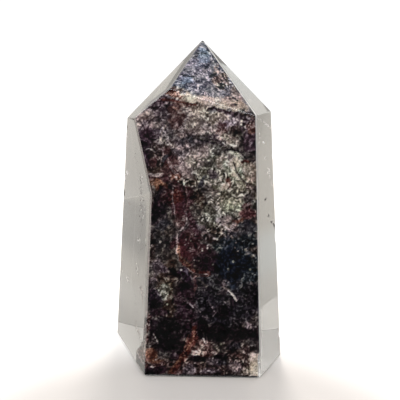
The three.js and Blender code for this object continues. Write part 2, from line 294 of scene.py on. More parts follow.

# The patches of minerals on the garden's front, later ones over earlier ones. After the mineral,
# each patch is its middle (x, z), its half sizes and, if it is turned, by how many degrees.
# On the tip, the blue of the frost, denim and steel patches is partly painted reflection of a bluish
# sky.
PATCHES = (
    ("frost", (3, 80, 12, 14)), ("ash", (2.4, 86.6, 1.6, 1.4)), ("steel", (2.8, 83.4, 1.6, 1.9)),
    ("frost", (4.8, 81.4, 1.2, 1.5, 30)), ("ash", (0.2, 80.6, 1.8, 1, 20), (0.8, 77.8, 2.6, 0.8)),
    ("denim", (2.6, 80.6, 1.4, 0.8), (4.2, 79, 1.7, 0.5, -40), (-2, 75.9, 2.9, 1.3, -25),
    (0.8, 74.4, 2.6, 0.9, -15)), ("clay", (5.7, 79.7, 1.5, 0.9, -30)), ("fawn", (7.2, 76.8, 2.6, 2.6),
    (-3.4, 74.3, 1.4, 0.7, -35)), ("ash", (4.2, 73.9, 3, 0.8)), ("sage", (8.8, 76.8, 1.2, 0.5, -55)),
    ("pepper", (7.4, 75.2, 1.2, 0.8)), ("clay", (10.4, 74, 2, 1.4, -40), (9.9, 72.6, 2.2, 0.9)),
    ("ash", (6.2, 72.9, 1.8, 0.6), (4.6, 80.2, 1.2, 1.2), (4.4, 74.6, 1.5, 0.8)),
    ("denim", (-1.1, 74.2, 1.2, 0.8, -20)), ("lilac", (-9.6, 67.2, 6.6, 5.4, 20), (-11, 67, 2.6, 2.2)),
    ("ember", (-3.7, 72.8, 2.2, 1.1, -35)), ("rust", (-5.5, 74, 1.5, 0.8)),
    ("ink", (-7.4, 71.4, 1.7, 0.8, 30), (-9, 69.6, 1, 0.5), (-5.4, 69.6, 0.7, 1.6, 15)),
    ("slate", (-7.4, 67.4, 1.4, 1.6)), ("mauve", (-13.6, 66.8, 1, 1.6), (-0.6, 67, 4.4, 4.4)),
    ("liver", (-4.3, 67.5, 1.5, 2.5, 10)), ("rosy", (-3, 70.4, 2.2, 0.7, -15)),
    ("fawn", (3.6, 67.8, 3.4, 2.2, -20)), ("flesh", (5.4, 66.8, 2.2, 1.4, -20)),
    ("clay", (1.8, 65.6, 2.4, 2)), ("liver", (7.2, 64.6, 2.2, 1.2)),
    ("lilac", (11, 66.5, 4.4, 1.9, -12), (13, 67.6, 1.5, 0.8)), ("fawn", (7.2, 67.2, 1.6, 0.7, -20)),
    ("umber", (10.8, 64.4, 1.4, 0.9)), ("lilac", (13.6, 65, 1.4, 1.4)), ("rosy", (14.8, 66.2, 1, 1.3)),
    ("slate", (-3.2, 62.4, 4.6, 1.9)), ("bluestone", (0.2, 62, 3, 1.1)),
    ("mauve", (-3.4, 64, 1.4, 0.7)), ("clay", (8.8, 62.2, 3.8, 1, -18)), ("ink", (14.6, 61.4, 2, 2.6)),
    ("rust", (15.2, 64.4, 1, 0.8)), ("lilac", (-9.5, 64.6, 1.8, 1.2)), ("ink", (-11.8, 62.6, 1.6, 2.4),
    (-10.7, 62.2, 0.7, 0.9)), ("mauve", (-8.8, 61, 1.4, 0.7, 20)), ("umber", (-6, 59.9, 2.6, 1.6),
    (-8.8, 57.4, 2.6, 2.8, 15)), ("ink", (-11.6, 57.2, 0.8, 3, 14)),
    ("bluestone", (-7.8, 57.2, 0.8, 1.3)), ("maroon", (-6.6, 56, 1, 2.4, -30)),
    ("bronze", (-9.8, 54, 2.2, 1.6)), ("liver", (-6.2, 54.6, 1.8, 2, -40)),
    ("mauve", (-3.8, 54.4, 1.6, 1.2, -30), (-0.6, 57.2, 5, 4, -15)), ("clay", (1.8, 58.8, 1.8, 1.5),
    (-0.6, 55.4, 2, 1.6)), ("mauve", (-3.4, 53.4, 2.4, 1.4, -25), (-10.8, 67.6, 1.9, 1.4),
    (-9.8, 65, 1.6, 1)), ("slate", (-3.6, 58.8, 1.6, 1, -20), (4.1, 57, 1.5, 1.9),
    (3, 53.2, 1.3, 1.6, 25)), ("sage", (9, 50, 9, 10)), ("chlorite", (7, 59.1, 2.2, 0.7, -8)),
    ("slate", (6.6, 60.2, 1.5, 0.9)), ("flesh", (7.8, 56.6, 2.4, 1.8, -25)),
    ("mint", (10.2, 58, 2.2, 1.2, -20), (10.6, 54.4, 3.2, 3.8, 20), (11.2, 55.4, 1.4, 2.4, 25),
    (7.6, 49.8, 3.2, 2.2)), ("clay", (10.4, 57.6, 2, 0.8, -20)), ("flesh", (14.6, 54.2, 2, 2.8, 15)),
    ("mint", (11.6, 50.2, 2, 1.4)), ("chlorite", (14.6, 49.6, 1.8, 1.4)), ("maroon", (-8.6, 52, 2.8, 1),
    (-3.6, 49.4, 3.4, 2.2, -15)), ("navy", (-6, 49.6, 1.1, 1)),
    ("terracotta", (-9.5, 50.2, 2.1, 1.2, -20)), ("russet", (-8, 49, 1.4, 0.7, -35)),
    ("ember", (-4.4, 52.2, 1.9, 0.7, -10)), ("pepper", (-0.9, 51.3, 1.7, 1.4)),
    ("bluestone", (1.9, 50.2, 0.9, 2.2, -20)), ("chlorite", (4.4, 47.6, 2.6, 2.8)),
    ("sage", (9.5, 46, 6, 4.4)), ("mint", (9.6, 45.6, 2.8, 1.7, -10), (10.6, 59, 1.5, 0.8)),
    ("bronze", (1, 46.2, 1.5, 3.4)), ("rust", (8.7, 51.4, 0.8, 1.5, 10)),
    ("navy", (-8.9, 44.4, 2.6, 4.4)), ("maroon", (-6.4, 47, 1.5, 2, -40), (-3.2, 45.2, 2.2, 4.8)),
    ("russet", (-3.8, 47.4, 1.6, 1.6)), ("garnet", (-3.2, 43.9, 1.4, 1.6)),
    ("liver", (-3.4, 41.4, 1.5, 0.9), (-7.6, 59.2, 1.2, 1), (-10.4, 56.6, 1, 1.6),
    (-5, 56.2, 1.2, 1.1)), ("bronze", (0.7, 43.8, 1.5, 2.4)), ("maroon", (-0.9, 43.6, 1.2, 4.4)),
    ("shale", (-7.8, 36.6, 3.4, 5)), ("bluestone", (-8.2, 39.8, 2.4, 1.2)),
    ("stone", (-6, 38.4, 1.4, 1.2)), ("sage", (4.4, 41.8, 3.4, 2.2)), ("stone", (0.9, 43.8, 1.2, 1.8)),
    ("slate", (2.8, 39, 3.4, 2), (-8.2, 29.6, 2.6, 2.6)), ("clay", (7.6, 41.8, 2.2, 1.3)),
    ("pepper", (6.8, 38.8, 2.8, 1.8, -20)), ("cream", (8.8, 39.4, 1.6, 1.2, -20)),
    ("umber", (4, 36.4, 2.4, 1.1)), ("rust", (10.6, 41, 1.4, 0.9, 25)), ("clay", (10.2, 40.4, 0.9, 0.6),
    (4.2, 65.2, 1.8, 1.1)), ("terracotta", (12.4, 41.6, 1.4, 0.7, 20)),
    ("midnight", (10.2, 30.4, 6.8, 7.6)), ("teal", (13.6, 38.2, 2.6, 3), (6.6, 34, 1.8, 1.6),
    (14, 31.4, 2.4, 2.2)), ("bluestone", (10.6, 37.9, 2.4, 1.3, 20), (14, 39, 2.2, 1.2)),
    ("crimson", (14, 43.2, 2.8, 1.2, 14)), ("pitch", (9.8, 31.4, 2.2, 2.4), (10.6, 26.6, 1.7, 2.2)),
    ("maroon", (-1.2, 35.6, 2.8, 4), (1.6, 33.6, 2.6, 1.9)), ("plum", (1.8, 31, 2.8, 1.8),
    (3.8, 30.4, 2.2, 2.4)), ("garnet", (-2.4, 33.2, 1.2, 2.6, 20)), ("bronze", (-5.8, 30.4, 1.6, 1.6),
    (-7.4, 26.6, 2.6, 1.6)), ("pitch", (-5.3, 28, 0.6, 1.9, 32)), ("violet", (-1.9, 27, 1.9, 1.9)),
    ("charcoal", (5, 25.6, 4.4, 3.2), (7.4, 19, 8.4, 6.4)), ("slate", (7.8, 25.8, 1.3, 1.1),
    (14.3, 14, 1.3, 0.8, -15)), ("teal", (13.8, 26.8, 2.2, 1.6)), ("charcoal", (14.2, 21, 2.6, 4.6)),
    ("pitch", (7.2, 17.2, 2, 1.4)), ("olive", (-7.7, 23.4, 1.9, 2.6)), ("bronze", (-6.2, 19, 1.9, 2.8)),
    ("navy", (-10.4, 20.4, 2.1, 3.6), (10.4, 20.2, 1.3, 1.1)), ("pitch", (-10.2, 19.6, 1.6, 1.8)),
    ("plum", (-2.2, 19.6, 2.5, 6.4)), ("pitch", (-1.8, 24.6, 1.8, 1.1), (-6.6, 13, 4.6, 3),
    (-6.6, 8.8, 4, 3), (8.6, 11.9, 9.8, 2.5)), ("umber", (-9.3, 16.2, 1.2, 0.4, 10),
    (-4, 3.2, 6.6, 2.2), (12.4, 5.4, 3.6, 3.6), (4, 2, 9, 1.8), (-18, 3, 6, 3), (13.6, 50.4, 1.1, 0.8),
    (-11.3, 44, 1.2, 5.4), (-11.3, 33.6, 1.1, 3.2)), ("bronze", (-6.6, 16.2, 1.4, 0.5)),
    ("rosy", (-12.8, 13.2, 1.5, 4.6, 4)), ("slate", (14.4, 14.4, 1, 0.8, -15), (-1.6, 2, 1.8, 1.4),
    (10.6, 2.2, 2.4, 1.4)), ("charcoal", (10.6, 8.4, 2.2, 1)), ("lilac", (5, 1.6, 3, 0.8),
    (-7, 68.2, 1.4, 0.9), (13.4, 68.6, 1.2, 0.7), (4.6, 62.4, 1.6, 1)), ("rosy", (11.2, 5.4, 1.6, 1.4),
    (3, 7.4, 2.9, 2.5)), ("fawn", (2.4, 7.6, 1.3, 1.1), (7.6, 78.2, 1.1, 1), (4.4, 68.4, 1.7, 0.8)),
    ("stone", (6.6, 8.6, 1.7, 1, 25), (-7.6, 32.2, 1.3, 1)), ("pitch", (6.9, 5.2, 1.7, 1.6, 50),
    (1.6, 4.9, 1.9, 0.7)), ("charcoal", (7.6, 3.8, 1.2, 0.8)),
    ("terracotta", (-11.6, 6.1, 2.6, 1.6, -10), (-15.4, 5.2, 3.6, 1.8, 15), (-10.6, 4.6, 2.4, 1)),
    ("rosy", (-10.4, 3.4, 2.6, 0.8), (-15.5, 3, 4.5, 0.9)), ("plum", (-10.6, 1.7, 3.4, 1),
    (-9.4, 17.2, 2.6, 1.1)), ("pitch", (-15.5, 1.1, 4.5, 1.1), (2.4, 13.8, 1.5, 1.5),
    (4.6, 10.9, 1.6, 1)), ("cream", (13.6, 1.6, 1.6, 1.2)), ("steel", (-1.4, 77.4, 1.8, 1.4)),
    ("denim", (-0.9, 74.6, 1.6, 1.1, -20)), ("slate", (1.6, 62, 1.4, 0.8), (-4.6, 59.4, 1.2, 0.9),
    (-1.9, 59.5, 1.1, 0.9), (4.4, 53.4, 1.2, 1), (10.4, 38.7, 1.3, 0.8), (-10.4, 26, 1.2, 1.2)),
    ("mauve", (-9.8, 53.2, 1.6, 0.8), (10.8, 2, 1.5, 0.9)), ("clay", (1.6, 58.8, 1.7, 1.3),
    (-2.8, 53.6, 2.4, 0.9, -20)), ("bone", (10.8, 56.3, 1.8, 1.3, 20), (10.8, 53.4, 1.1, 0.8),
    (7.6, 50.3, 1.1, 0.8), (-13.3, 8.4, 1, 1.8), (16.6, 5.2, 1.5, 2.2), (17, 2.6, 2.2, 2.6),
    (16.4, 6.8, 0.9, 0.8)), ("chlorite", (13.8, 47, 1.3, 1.1)), ("liver", (13.6, 45, 1.3, 0.7),
    (-1.4, 38.2, 1.1, 0.9), (-4.4, 1.8, 1.4, 0.7)), ("sage", (2.4, 41.2, 2, 1.1), (4.8, 40.9, 1.5, 1.1),
    (-7.8, 22.8, 1.3, 1.6)), ("bluestone", (13.6, 41, 1.3, 0.8)), ("maroon", (-4.9, 35.2, 0.7, 1.5),
    (-1.2, 29.6, 1.3, 0.9)), ("abyss", (9.4, 29.4, 3.4, 4.4), (13.6, 30.6, 1.5, 2.2),
    (10.6, 27, 1.6, 1.2)), ("lilac", (-7.6, 29.2, 1.4, 1.2)), ("slate", (7.4, 23.4, 1.2, 0.9),
    (4.6, 4.6, 1.3, 0.9)), ("ink", (-5.4, 5.4, 1.1, 0.9)), ("umber", (11, 5, 1.3, 1.1)),
    ("rust", (-13.6, 5.2, 1.3, 1.2)), ("plum", (-13.6, 1.9, 1.4, 0.8), (-4.8, 5.2, 1, 0.9)),
)

# Veins and slashes over them. After the mineral, each is its width and the points (x, z) on its way.
VEINS = (
    ("straw", (2.4, (-1.4, 72.3), (1, 71.9), (4, 71.2), (8, 70.9), (12, 70.4)),
    (1.5, (7.6, 71.3), (10.4, 70.9), (13.2, 69.8)), (1.6, (0.4, 71.2), (3, 70.5), (5.4, 70.6))),
    ("denim", (0.9, (3.4, 86.4), (8, 80), (12, 74.2), (15.6, 69.2))),
    ("fawn", (0.8, (1, 71), (3.2, 69.6)), (0.3, (7.9, 38), (8.4, 37.2)),
    (0.3, (-10.4, 11.6), (-9.6, 10.2), (-9.2, 9)), (0.5, (-17.6, 3.4), (-15, 2.6), (-13.6, 3.2)),
    (0.3, (-12.2, 4), (-11, 3.2)), (0.3, (-10, 4.6), (-8.6, 5.2))),
    ("clay", (0.7, (2.8, 70.6), (4.4, 70.2)),
    (0.4, (-7.2, 65.4), (-8, 63.8), (-8.1, 62.6), (-8.6, 61.4)), (0.25, (-6.4, 66.6), (-7.2, 65.4)),
    (0.5, (5.8, 62.6), (7.6, 62.1)), (0.4, (8.4, 61.9), (9.8, 61.2)),
    (0.5, (-4.35, 38.4), (-4.3, 37), (-4.1, 35))),
    ("russet", (0.5, (-7.6, 72.3), (-5.2, 72), (-2.6, 71.2), (0.5, 70.6)),
    (0.3, (-7, 56), (-5.8, 54.2), (-4.6, 53))), ("rust", (0.4, (-5.4, 70.2), (-3.8, 69.6))),
    ("ink", (0.5, (3.6, 69.8), (4.6, 69.5)), (0.65, (5, 69.8), (6.6, 69.4), (8.8, 69.1), (10.8, 68.4)),
    (0.6, (10.6, 68.5), (12.4, 67.9)), (0.4, (12.6, 67), (14.8, 67.2))),
    ("umber", (0.4, (12, 68.2), (13.4, 68.1), (14.8, 68.3)), (0.4, (9.4, 70.6), (10.8, 70.5)),
    (0.3, (9, 72), (10.4, 72.2), (11.2, 71.4)), (0.4, (6.2, 77.4), (7.4, 76.6)),
    (0.4, (7.4, 78.2), (8.1, 77.2), (8.2, 76.2))), ("navy", (0.5, (4.4, 77.9), (5.8, 78.6))),
    ("bluestone", (0.35, (-3.3, 78.4), (-2.4, 77.8), (0, 77.6)),
    (0.3, (0.6, 84.3), (2, 84.4), (3.2, 84.3))),
    ("mauve", (0.35, (-12.4, 59.5), (-11.5, 59.8), (-10.4, 59.6), (-9.6, 59.1), (-8.9, 59.5)),
    (0.35, (-8.7, 59.8), (-7.9, 59.7), (-7.6, 59), (-7.7, 58.3)),
    (0.3, (-5.3, 49.8), (-5.3, 47.6), (-5.1, 45.6), (-5.1, 43.4), (-4.8, 42.4))),
    ("chlorite", (0.8, (0.2, 62.6), (2.2, 62), (4.2, 61.6), (6.4, 60.6), (8.4, 60.1), (10.6, 59.8),
    (12.4, 59.2), (13.2, 58.2)), (0.4, (10, 56.4), (11.4, 53.4), (13, 51.4), (14.8, 50.4))),
    ("navy", (0.3, (0.4, 62.3), (2.2, 61.8), (4.2, 61.4), (5.2, 61)),
    (0.35, (8, 59.8), (10.6, 59.6), (12.2, 59.1))), ("snow", (0.3, (3.7, 64.1), (4.5, 63.6)),
    (0.35, (6.4, 62.8), (7.4, 62.5)), (0.45, (8.4, 61.5), (9.6, 61), (10.6, 60.5)),
    (0.2, (7.2, 61.6), (8.2, 61)), (0.35, (7.8, 39.9), (9.9, 39)), (0.35, (5.3, 37), (6.2, 36.6)),
    (0.3, (10.1, 40.6), (10.3, 39.9))),
    ("liver", (0.3, (-6.6, 57.2), (-5.4, 55.6), (-3.8, 53.8), (-2.6, 52.2)),
    (0.35, (-1.8, 49.8), (-1.8, 45.6), (-1.7, 43.6))),
    ("pitch", (0.5, (12.4, 58.4), (13.5, 57.4), (14.6, 58))),
    ("russet", (0.6, (12.4, 56.4), (13, 56.9), (14, 56.6))), ("cream", (0.4, (6, 53), (7.4, 51.6)),
    (0.3, (4.8, 5.4), (6.6, 7.4)), (0.3, (2, 4), (2.6, 4.1))),
    ("mauve", (0.35, (-1.7, 43.8), (-1.7, 42), (-1.9, 40.4), (-3.4, 38.8))),
    ("liver", (0.35, (-4.8, 43), (-3.2, 42.8), (-1.7, 42.9)), (0.3, (-1.6, 44.6), (-0.4, 44.3))),
    ("terracotta", (0.7, (-4.15, 35.4), (-4, 33), (-3.5, 31.2))),
    ("clay", (0.3, (-4.3, 35.4), (-4.3, 33), (-4, 31.6), (-3.6, 30.8))),
    ("russet", (0.9, (-3.5, 31.2), (-2.2, 29.9), (-0.6, 28.6), (1, 28), (3.8, 28))),
    ("terracotta", (0.6, (-3, 31.8), (-1.9, 30.9), (-1, 30))),
    ("clay", (0.2, (-2.4, 29.7), (-0.8, 28.4), (1, 27.7), (3.6, 27.7)), (0.35, (7.6, 24.4), (9, 23.3)),
    (0.3, (14.6, 25.6), (15.4, 24.8))), ("rust", (0.3, (0.2, 27), (3.5, 27.2))),
    ("liver", (0.6, (0.3, 27.2), (0.3, 25.6), (0.6, 24.2), (0.2, 23.1))),
    ("stone", (0.5, (1.2, 26), (3.4, 24.5))), ("slate", (0.3, (6.2, 26.6), (7.4, 25.4)),
    (0.3, (8.5, 26.2), (9.5, 25)), (0.3, (-3.2, 21.7), (-1.4, 20.4)), (0.4, (-2.2, 21.2), (-1.4, 20))),
    ("flesh", (0.3, (8.8, 38.2), (9.8, 37.4)),
    (1.1, (-13.2, 9.2), (-14.5, 8.4), (-17, 7), (-20, 5.6), (-21.6, 3.2)),
    (1.2, (-15.6, 17), (-15.8, 12), (-16, 8.2), (-18.4, 6), (-20.9, 4.6))),
    ("snow", (0.4, (9, 23.2), (9.9, 22.6), (10.4, 21.9), (10.8, 20.8)), (0.5, (-20, 3.4), (-18.4, 2.8)),
    (0.3, (2.5, 10.4), (2.7, 9.6)), (0.35, (0.6, 7), (1, 6.5)), (0.3, (2, 6.4), (2.5, 6.1))),
    ("lilac", (0.4, (-0.8, 19.6), (-0.1, 18.8))), ("slate", (0.35, (0.2, 18.4), (1, 17.4)),
    (0.3, (0.4, 19.4), (1.8, 17.6)), (0.35, (3.6, 20.6), (4.6, 19), (5.4, 17.9)),
    (0.3, (2.4, 16.4), (4, 16)), (0.3, (4.8, 16.4), (5.8, 17.4)), (0.3, (6.2, 22.2), (7.4, 22.8)),
    (0.3, (7.6, 20.6), (9, 19.2)), (0.3, (12.5, 22), (14, 20.8)), (0.25, (-3.5, 15.8), (-0.5, 15.2))),
    ("plum", (1.6, (0.4, 15), (0.3, 12.6))), ("russet", (1.2, (0.3, 13.4), (0.1, 11.4))),
    ("terracotta", (0.7, (0.1, 12.6), (0.1, 10.8))), ("russet", (2.1, (0.2, 10.6), (-0.8, 8.6)),
    (1.5, (-0.8, 8.8), (-2, 6.6), (-4.2, 3.2), (-5.8, 1.2))),
    ("terracotta", (0.5, (0.2, 11.4), (-0.6, 9.4), (-1.8, 7.4)),
    (0.5, (-3.4, 5.2), (-5, 3), (-6.6, 1))), ("rust", (0.4, (-1.2, 11.2), (-2, 9), (-2.6, 7.2)),
    (0.3, (-2.6, 6.4), (-2.3, 4.6))),
    ("clay", (0.4, (-13.4, 17.2), (-14.6, 14), (-14.9, 10.4), (-13.8, 9))),
    # A painted shadow: a dark line along the garden's foot, where the base meets the floor.
    ("pitch", (0.5, (-13, 0.4), (2, 0.3), (17.2, 0.4))),
)

# Single grains over those. After the mineral, each is its middle (x, z) and its half size.
FLECKS = (
    ("snow", (-6.4, 60.9, 0.2), (5, 59.9, 0.25), (10.2, 66.4, 0.25), (12, 66.8, 0.3),
    (11.9, 65.9, 0.25), (12.9, 65.4, 0.2), (1.4, 56, 0.25), (-4.4, 52.7, 0.3), (-2.9, 52.3, 0.35),
    (-2.4, 51.9, 0.25), (-3.8, 51.6, 0.2), (-1.8, 51.6, 0.2), (1.1, 75.3, 0.3), (3.4, 77.4, 0.25),
    (5, 77.2, 0.2), (5.9, 72.1, 0.6), (6.7, 71.8, 0.35), (-3, 73.3, 0.25), (3.6, 34.5, 0.25),
    (2.2, 33.8, 0.2), (-3.2, 28.7, 0.3), (3.2, 9.2, 0.2), (5, 5.2, 0.2)), ("clay", (-2, 58.4, 0.25),
    (10.9, 35.9, 0.25), (10.6, 34.6, 0.2), (11.3, 33.7, 0.25), (3.5, 35.2, 0.2), (0.2, 31.3, 0.2),
    (1.4, 31.1, 0.2), (2.2, 34.3, 0.2), (-1.9, 36.6, 0.2), (-1.3, 35.6, 0.15), (-0.7, 36.3, 0.15),
    (-2.2, 35.3, 0.15), (-0.9, 34.4, 0.15), (-10.6, 35, 0.3), (-8.5, 36, 0.25), (-4.3, 33.4, 0.2),
    (-6, 17.5, 0.25), (15, 25.3, 0.3), (14.8, 13.6, 0.35), (10.3, 40.2, 0.4)),
    ("cream", (5.5, 68.5, 0.25), (6.8, 68.5, 0.25), (7.3, 66.7, 0.3), (5, 66.3, 0.25),
    (12.8, 64.3, 0.25), (6, 8.2, 0.25)), ("pitch", (12.6, 66, 0.4), (10.8, 64, 0.5), (-6.9, 35.9, 0.5),
    (7.3, 42.5, 0.3), (6.8, 41, 0.25), (6.3, 39.2, 0.5), (7.6, 38.9, 0.4), (9.2, 37.9, 0.3),
    (8.6, 52.6, 0.25), (7.7, 53.4, 0.3), (9.5, 52, 0.25), (6.4, 45.6, 0.2), (3.3, 46, 0.3),
    (3.9, 44.8, 0.25)), ("ember", (-5.5, 52.1, 0.3)), ("mint", (13.3, 34.1, 0.35), (10.2, 31, 0.25),
    (14.5, 29, 0.3), (-8, 24.5, 0.5), (-8, 22.4, 0.5), (-7.4, 21, 0.4), (-6.8, 19.5, 0.3),
    (7.2, 9, 0.3)), ("sage", (15.2, 32.4, 0.4), (5, 30.2, 0.3), (9, 29, 0.3)),
)

# Drifts of dust in the clear quartz, just behind each side: the mineral, the middle (x, z), the half
# sizes, the turn of the first in degrees, how many grains, and their half size.
DUST = {
    "upper_left": (
        ("snow", -17.9, 62.6, 0.4, 1, 0, 12, 0.42),
        ("snow", -18.3, 51.9, 0.5, 0.5, 0, 8, 0.42),
        ("snow", -19.2, 49.6, 0.4, 1.1, 0, 10, 0.4),
        ("slate", -14.5, 57, 0.4, 2.6, 0, 8, 0.2),
        ("ink", -13.5, 50.4, 0.8, 3, 0, 24, 0.24),
        ("snow", -13.4, 50, 0.8, 3, 0, 14, 0.24),
    ),
    "lower_left": (
        ("ink", -13.4, 43.4, 0.9, 4.5, 0, 34, 0.26),
        ("snow", -13.3, 43, 0.9, 4, 0, 18, 0.26),
        ("rust", -18.2, 42.3, 0.4, 0.12, 0, 4, 0.24),
        ("slate", -13.5, 35.5, 0.5, 4, 0, 14, 0.2),
        ("snow", -14.8, 34.1, 1.1, 0.6, 20, 9, 0.26),
        ("slate", -13.8, 25, 0.6, 8, 0, 20, 0.2),
        ("snow", -21.3, 23.6, 0.9, 1.3, 0, 8, 0.3),
        ("snow", -21.2, 20.7, 0.5, 0.4, 0, 5, 0.28),
        ("snow", -18.9, 20.3, 0.4, 0.8, 0, 6, 0.28),
        ("snow", -15, 25.6, 0.5, 1.6, 0, 10, 0.24),
        ("pitch", -15, 25.8, 0.5, 1.2, 0, 5, 0.22),
        ("pitch", -22.8, 19, 0.15, 0.3, 0, 3, 0.3),
        ("clay", -13.1, 20.6, 0.3, 2.6, 0, 30, 0.24),
        ("rust", -13.2, 20.2, 0.3, 2.2, 0, 10, 0.22),
        ("pitch", -15.7, 15.8, 0.15, 0.3, 0, 3, 0.22),
        ("terracotta", -15.5, 9.1, 0.9, 2.6, 0, 14, 0.2),
        ("fawn", -14.4, 8.2, 0.6, 2.6, 20, 36, 0.22),
    ),
    "right": (
        ("snow", 18.2, 65.8, 2.8, 0.1, -35, 40, 0.2),
        ("snow", 16.3, 62.7, 0.15, 2.4, 0, 12, 0.18),
        ("snow", 17.5, 61.1, 0.15, 0.3, 0, 4, 0.26),
        ("snow", 18, 56.8, 0.2, 0.5, 0, 5, 0.24),
        ("snow", 19.4, 52.6, 0.35, 1.7, 10, 14, 0.24),
        ("snow", 20.5, 49.8, 0.25, 0.8, 0, 6, 0.22),
        ("pitch", 18.1, 46.2, 0.1, 0.15, 0, 3, 0.36),
        ("pitch", 19.3, 41.5, 0.12, 0.3, 0, 4, 0.36),
        ("pitch", 21.1, 38.5, 1.7, 0.12, -56, 26, 0.28),
        ("snow", 21.6, 38.6, 1.6, 0.5, -56, 8, 0.2),
        ("terracotta", 21.4, 4, 1.6, 0.15, 25, 10, 0.18),
    ),
}
# How far behind the side the grains lie, how high above the base they stay, and how much they glow,
# as a painted glint.
DUST_DEPTH = (0.35, 1.3)
DUST_FLOOR = 0.5
DUST_GLINT_GLOW = 0.4


def noise(points, size, seed):
    """Smooth random values from -1 to 1, with features about as large as size."""
    period = 32
    table = np.random.default_rng(seed).uniform(-1, 1, (period, period, period))
    place = points / size + 1000
    cell = np.floor(place).astype(int)
    along = place - cell
    along = along * along * (3 - 2 * along)
    total = np.zeros(len(points))
    for corner in itertools.product((0, 1), repeat=3):
        weight = np.prod(np.where(corner, along, 1 - along), axis=1)
        x, y, z = ((cell + corner) % period).T
        total += weight * table[x, y, z]
    return total


def rough(points, size, octaves, seed):
    """Noise of several sizes, each half as large and half as strong as the one before."""
    return sum(noise(points, size / 2**i, seed + i) / 2**i for i in range(octaves))


def smooth(low, high, value):
    """0 below low, 1 above high, and a smooth step between them."""
    t = np.clip((value - low) / (high - low), 0, 1)
    return t * t * (3 - 2 * t)


def flat_faces(mesh):
    """A mesh's flat faces as (normal, reach from the origin, area), in millimetres."""
    faces = []
    for polygon in sorted(mesh.polygons, key=lambda p: -p.area):
        normal = np.array(polygon.normal)
        reach = float(normal @ np.array(polygon.center)) / MM
        same = next((f for f in faces if f[0] @ normal > 0.9999 and abs(f[1] - reach) < 0.05), None)
        if same is None:
            faces.append([normal, reach, polygon.area / MM**2])
        else:
            same[2] += polygon.area / MM**2
    return faces


def ground_faces():
    """The crystal's outer faces: those that bound it all, and the two that meet in a crease."""
    mesh = frame["nodes"]["quartz"].data
    corners = np.array([v.co for v in mesh.vertices]) / MM
    # Without its rear bevels it would reach past the CAD box, so that bounds it to the left and rear.
    low, high = (np.array(corner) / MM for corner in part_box("quartz"))
    bounding = [(np.array((-1.0, 0, 0)), -low[0]), (np.array((0, 1.0, 0)), high[1])]
    creased = []
    for normal, reach, area in flat_faces(mesh):
        bounds_all = (corners @ normal).max() < reach + 0.02
        looks_down = BEVEL_DOWN[0] < normal[2] < BEVEL_DOWN[1]
        rear_bevel = looks_down and normal[1] > BEVEL_FORWARD
        if bounds_all and area > LEAST_BEVEL and not rear_bevel:
            bounding.append((normal, reach))
        elif area > LEAST_FACE and reach > 0:
            creased.append((normal, reach))
    return bounding, creased


BOUNDING, CREASED = ground_faces()
FRONT = [(normal, reach) for normal, reach in BOUNDING if normal[1] < -0.5]


def inside(points):
    """Whether each point lies in the crystal."""
    within = np.all([points @ n <= reach for n, reach in BOUNDING], axis=0)
    return within & np.any([points @ n <= reach for n, reach in CREASED], axis=0)


def front_at(x, z):
    """y of the crystal's front faces, straight ahead of x and z."""
    return np.max([(reach - n[0] * x - n[2] * z) / n[1] for n, reach in FRONT], axis=0)


def on_tip(x, z):
    """Whether the front face ahead of x and z is the tip's."""
    nearest = np.argmax([(reach - n[0] * x - n[2] * z) / n[1] for n, reach in FRONT], axis=0)
    return np.array([n[2] > 0.5 for n, reach in FRONT])[nearest]


def front_edges(z):
    """x of the left and right edges of the crystal's front faces, at some heights."""
    x = np.linspace(*EDGE_SEARCH)
    left, right = [], []
    for height in z:
        y = front_at(x, height) + 0.01
        within = x[inside(np.column_stack([x, y, np.full_like(x, height)]))]
        left.append(within.min())
        right.append(within.max())
    return np.array(left), np.array(right)


def new_mesh(name, vertices, faces):
    """A mesh object from vertices in millimetres."""
    mesh = bpy.data.meshes.new(name)
    mesh.from_pydata([tuple(v) for v in np.asarray(vertices) * MM], [], faces)
    mesh.update()
    piece = bpy.data.objects.new(name, mesh)
    bpy.context.scene.collection.objects.link(piece)
    return piece


def cut_solid(name, planes, outside=()):
    """A block cut down to what lies inside some planes and outside others."""
    work = bmesh.new()
    bmesh.ops.create_cube(work, size=STOCK)
    bmesh.ops.translate(work, vec=(0, 0, STOCK / 2 - 10), verts=work.verts)
    cuts = [(n, reach, True) for n, reach in planes] + [(n, reach, False) for n, reach in outside]
    for normal, reach, keeps_inner in cuts:
        everything = work.verts[:] + work.edges[:] + work.faces[:]
        cut = bmesh.ops.bisect_plane(
            work, geom=everything, plane_co=Vector(normal * reach), plane_no=Vector(normal),
            clear_outer=keeps_inner, clear_inner=not keeps_inner)
        rim = [e for e in cut["geom_cut"] if isinstance(e, bmesh.types.BMEdge)]
        bmesh.ops.contextual_create(work, geom=rim)
    bmesh.ops.remove_doubles(work, verts=work.verts, dist=WELD)
    bmesh.ops.recalc_face_normals(work, faces=work.faces)
    mesh = bpy.data.meshes.new(name)
    work.to_mesh(mesh)
    work.free()
    mesh.transform(((MM, 0, 0, 0), (0, MM, 0, 0), (0, 0, MM, 0), (0, 0, 0, 1)))
    piece = bpy.data.objects.new(name, mesh)
    bpy.context.scene.collection.objects.link(piece)
    return piece


def apply_modifiers(piece):
    """Turns a piece's modifiers into its mesh."""
    evaluated = piece.evaluated_get(bpy.context.evaluated_depsgraph_get())
    mesh = bpy.data.meshes.new_from_object(evaluated)
    piece.modifiers.clear()
    piece.data = mesh


def side_face(name):
    """One of the crystal's sides as (normal, reach)."""
    towards = np.array(direction(*SIDES[name]))
    return max(BOUNDING + CREASED, key=lambda face: face[0] @ towards)


